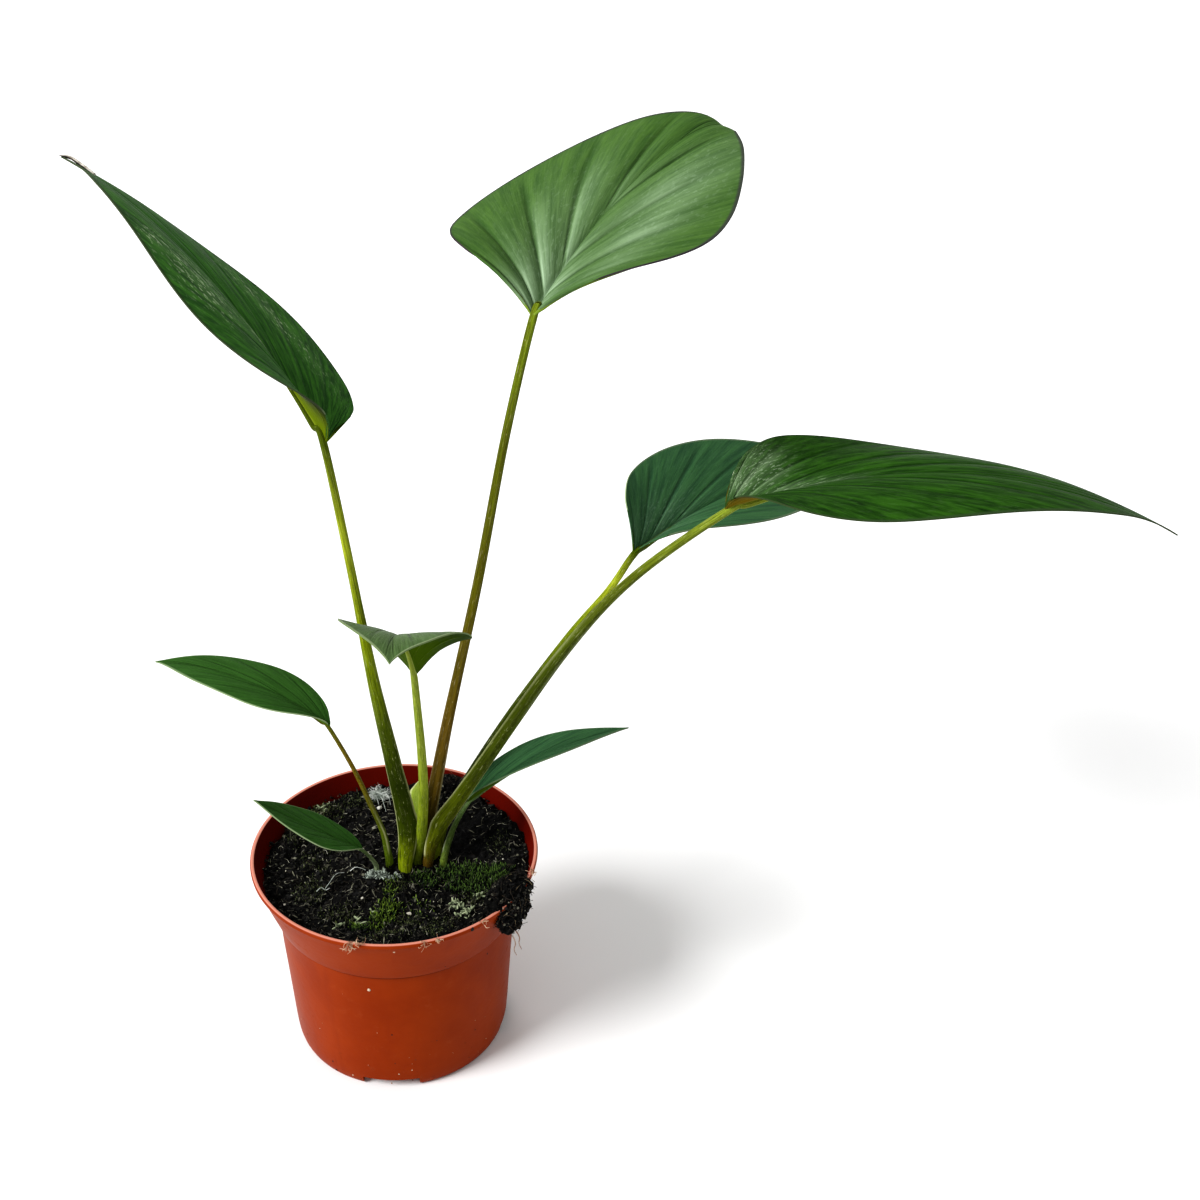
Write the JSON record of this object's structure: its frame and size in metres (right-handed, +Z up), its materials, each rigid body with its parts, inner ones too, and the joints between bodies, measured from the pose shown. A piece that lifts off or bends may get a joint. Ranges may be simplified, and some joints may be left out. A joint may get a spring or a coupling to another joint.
{
  "type": "potted black emerald homalomena",
  "caption": "Young aroid house plant with long-stalked, heart-shaped glossy leaves, growing from peat in a round tapered plastic nursery pot.",
  "frame": {"origin": "middle of the pot's underside, on the plane that the pot stands on", "axes": "+Z up, along the pot's axis; -Y is the front, the side that the picture is taken from; +X runs to the right, the way the longest leaf points"},
  "size_m": [0.4238, 0.2517, 0.367],
  "materials": {
    "pot": "satin moulded plastic, faintly dusty",
    "peat": "moist, crumbly and matt, with fibres, moss and perlite",
    "stalk": "smooth, soft shine",
    "blade": "satin green with sunk veins, paler below",
    "sheath": "pale and papery"
  },
  "bodies": {
    "root": {"pot": "pot", "soil": "peat", "stalk_tall_left": "stalk", "blade_tall_left": "blade", "stalk_broad_centre": "stalk", "blade_broad_centre": "blade", "stalk_long_right": "stalk", "blade_long_right": "blade", "stalk_right_behind": "stalk", "blade_right_behind": "blade", "stalk_small_front": "stalk", "blade_small_front": "blade", "stalk_small_left": "stalk", "blade_small_left": "blade", "stalk_lowest_left": "stalk", "blade_lowest_left": "blade", "stalk_small_right": "stalk", "blade_small_right": "blade", "sheath_front": "sheath"}
  },
  "joints": []
}
